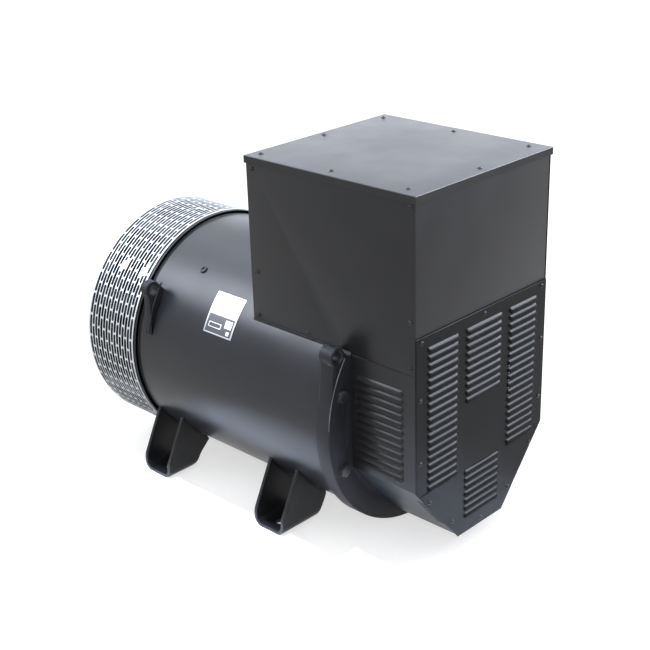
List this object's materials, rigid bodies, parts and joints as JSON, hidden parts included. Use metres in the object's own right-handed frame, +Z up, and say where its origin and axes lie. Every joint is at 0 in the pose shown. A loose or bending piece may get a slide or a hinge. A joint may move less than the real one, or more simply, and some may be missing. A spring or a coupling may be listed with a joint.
{
  "type": "generator alternator head",
  "caption": "Single-bearing brushless alternator with a perforated fan screen, louvred rear hood, terminal box and engine adaptor",
  "frame": {"origin": "the centre of the object's bounding box in plan, on the plane that its four feet stand on", "axes": "+Z is up; +X runs along the shaft from the engine end to the louvred rear cover; +Y is to the side away from the rating plate"},
  "size_m": [1.287, 0.728, 1.044],
  "materials": {
    "charcoal_paint": "satin charcoal paint on rolled and cast metal",
    "foot_paint": "satin black paint",
    "bright_steel": "bright ground or plated steel",
    "machined_steel": "turned steel",
    "black_bolts": "blackened steel",
    "electrical_steel": "stacked electrical steel",
    "varnished_copper": "copper under brown varnish",
    "cast_aluminium": "as cast",
    "brass": "drawn brass",
    "moulded_board": "moulded thermoset board",
    "regulator_case": "potted case",
    "plate_aluminium": "anodised sheet"
  },
  "bodies": {
    "stator_frame": {"frame_barrel": "charcoal_paint", "frame_plug": "charcoal_paint", "lifting_ear_left": "charcoal_paint", "lifting_ear_right": "charcoal_paint", "engine_adaptor": "charcoal_paint", "rear_bracket": "charcoal_paint", "bearing_cap": "charcoal_paint", "box_side_left": "charcoal_paint", "box_side_right": "charcoal_paint", "box_front_panel": "charcoal_paint", "box_rear_panel": "charcoal_paint", "box_floor": "charcoal_paint", "box_rail_left": "charcoal_paint", "box_rail_right": "charcoal_paint", "box_lid": "charcoal_paint", "rear_louvre_cover": "charcoal_paint", "side_louvre_panel_left": "charcoal_paint", "side_louvre_panel_right": "charcoal_paint", "belly_pan": "charcoal_paint", "pilot_exciter_housing": "charcoal_paint", "front_foot_left": "foot_paint", "front_foot_right": "foot_paint", "rear_foot_left": "foot_paint", "rear_foot_right": "foot_paint", "fan_screen": "bright_steel", "bearing_outer_ring": "bright_steel", "regulator_bracket": "machined_steel", "bracket_bolt_1": "black_bolts", "bracket_bolt_2": "black_bolts", "bracket_bolt_3": "black_bolts", "bracket_bolt_4": "black_bolts", "bracket_bolt_5": "black_bolts", "bracket_bolt_6": "black_bolts", "stator_core": "electrical_steel", "stator_winding": "varnished_copper", "exciter_stator": "varnished_copper", "pilot_exciter_stator": "varnished_copper", "busbar_link_1": "brass", "busbar_link_2": "brass", "busbar_link_3": "brass", "terminal_board": "moulded_board", "voltage_regulator": "regulator_case", "rating_plate": "plate_aluminium"},
    "rotor": {"shaft": "machined_steel", "rotor_core": "electrical_steel", "rotor_coil_1": "varnished_copper", "rotor_coil_2": "varnished_copper", "rotor_coil_3": "varnished_copper", "rotor_coil_4": "varnished_copper", "fan": "cast_aluminium", "coupling_hub": "machined_steel", "coupling_discs": "bright_steel", "disc_clamp_ring": "machined_steel", "exciter_armature": "varnished_copper", "rectifier_wheel": "cast_aluminium", "pilot_exciter_rotor": "machined_steel", "bearing_inner_ring": "bright_steel"},
    "bearing_cage": {"bearing_balls_and_cage": "brass"}
  },
  "joints": [
    {"name": "rotor_spin", "type": "hinge", "parent": "stator_frame", "child": "rotor", "pos_m": [0, 0, 0.366], "axis": [1, 0, 0], "continuous": true},
    {"name": "cage_spin", "type": "hinge", "parent": "stator_frame", "child": "bearing_cage", "pos_m": [0.4097, 0, 0.366], "axis": [1, 0, 0], "continuous": true}
  ],
  "couplings": [
    {"joint": "cage_spin", "follows": "rotor_spin", "ratio": 0.3928}
  ]
}
